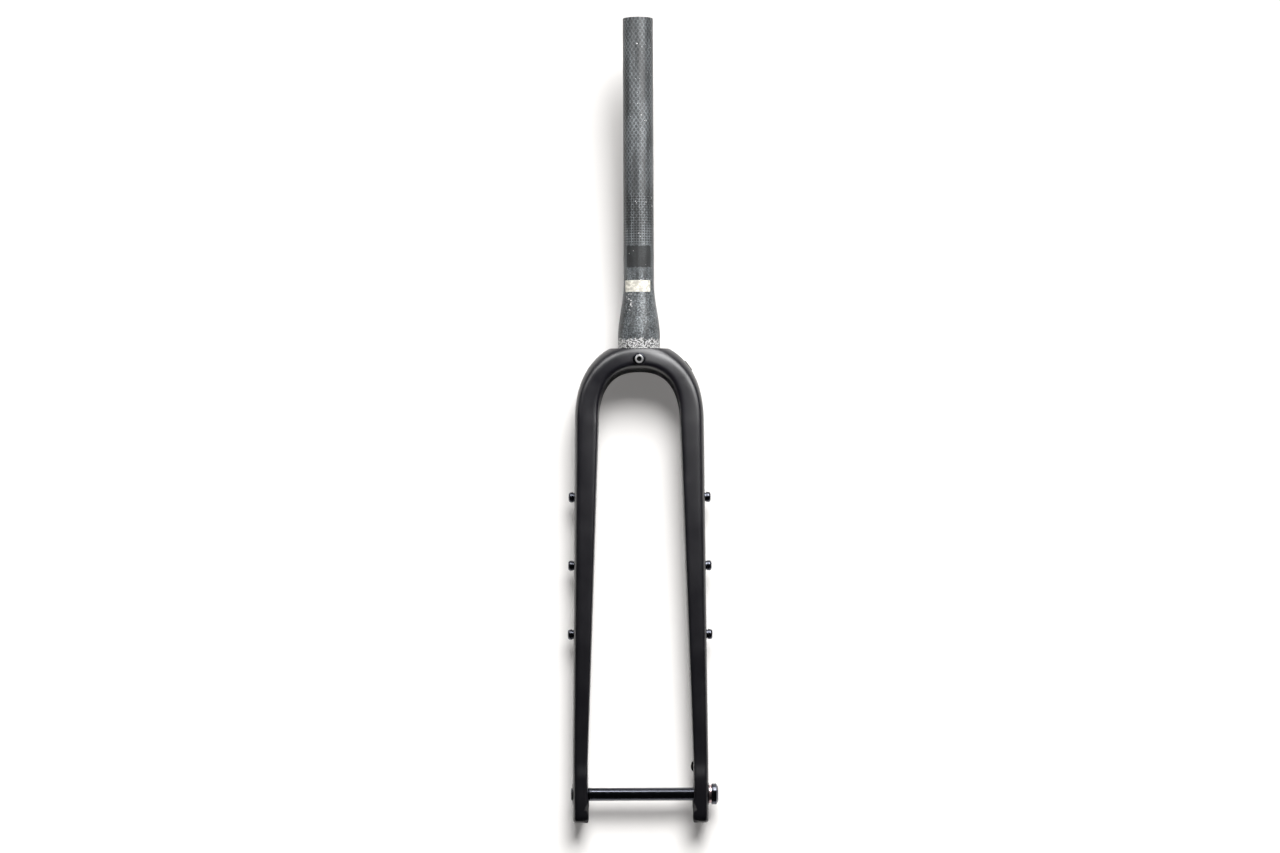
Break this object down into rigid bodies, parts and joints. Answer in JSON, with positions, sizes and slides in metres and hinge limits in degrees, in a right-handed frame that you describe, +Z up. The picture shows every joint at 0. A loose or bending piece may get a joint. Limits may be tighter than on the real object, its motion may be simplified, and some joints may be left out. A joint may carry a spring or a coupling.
{
  "type": "bicycle fork",
  "caption": "Rigid carbon bicycle fork with tapered steerer, tyre arch, two legs, thru axle, cargo bolts, flat brake mount and internal hose route.",
  "frame": {"origin": "on the steerer axis, in the plane that the crown race sits on", "axes": "+Z up the steerer, the fork's front faces -Y, the rider's left is +X"},
  "size_m": [0.1396, 0.0927, 0.7525],
  "materials": {
    "raw_carbon": "satin",
    "satin_black_paint": "satin",
    "plain_metal": "satin",
    "steel": "satin",
    "black_metal": "gloss",
    "pale_ring": "satin",
    "black_rubber": "matte"
  },
  "bodies": {
    "root": {"steerer": "raw_carbon", "crown_and_legs": "satin_black_paint", "crown_sleeve": "plain_metal", "crown_bolt_washer": "black_metal", "crown_bolt": "steel", "dropout_insert_left": "plain_metal", "dropout_insert_right": "plain_metal", "thru_axle": "black_metal", "axle_washer": "pale_ring", "brake_insert_upper": "plain_metal", "brake_insert_lower": "plain_metal", "hose_port_plug": "black_rubber", "hose_exit_grommet": "black_rubber", "cargo_insert_left_top": "plain_metal", "cargo_insert_left_middle": "plain_metal", "cargo_insert_left_bottom": "plain_metal", "cargo_insert_right_top": "plain_metal", "cargo_insert_right_middle": "plain_metal", "cargo_insert_right_bottom": "plain_metal", "cargo_washer_left_top": "black_metal", "cargo_washer_left_middle": "black_metal", "cargo_washer_left_bottom": "black_metal", "cargo_washer_right_top": "black_metal", "cargo_washer_right_middle": "black_metal", "cargo_washer_right_bottom": "black_metal", "cargo_bolt_left_top": "black_metal", "cargo_bolt_left_middle": "black_metal", "cargo_bolt_left_bottom": "black_metal", "cargo_bolt_right_top": "black_metal", "cargo_bolt_right_middle": "black_metal", "cargo_bolt_right_bottom": "black_metal"}
  },
  "joints": []
}
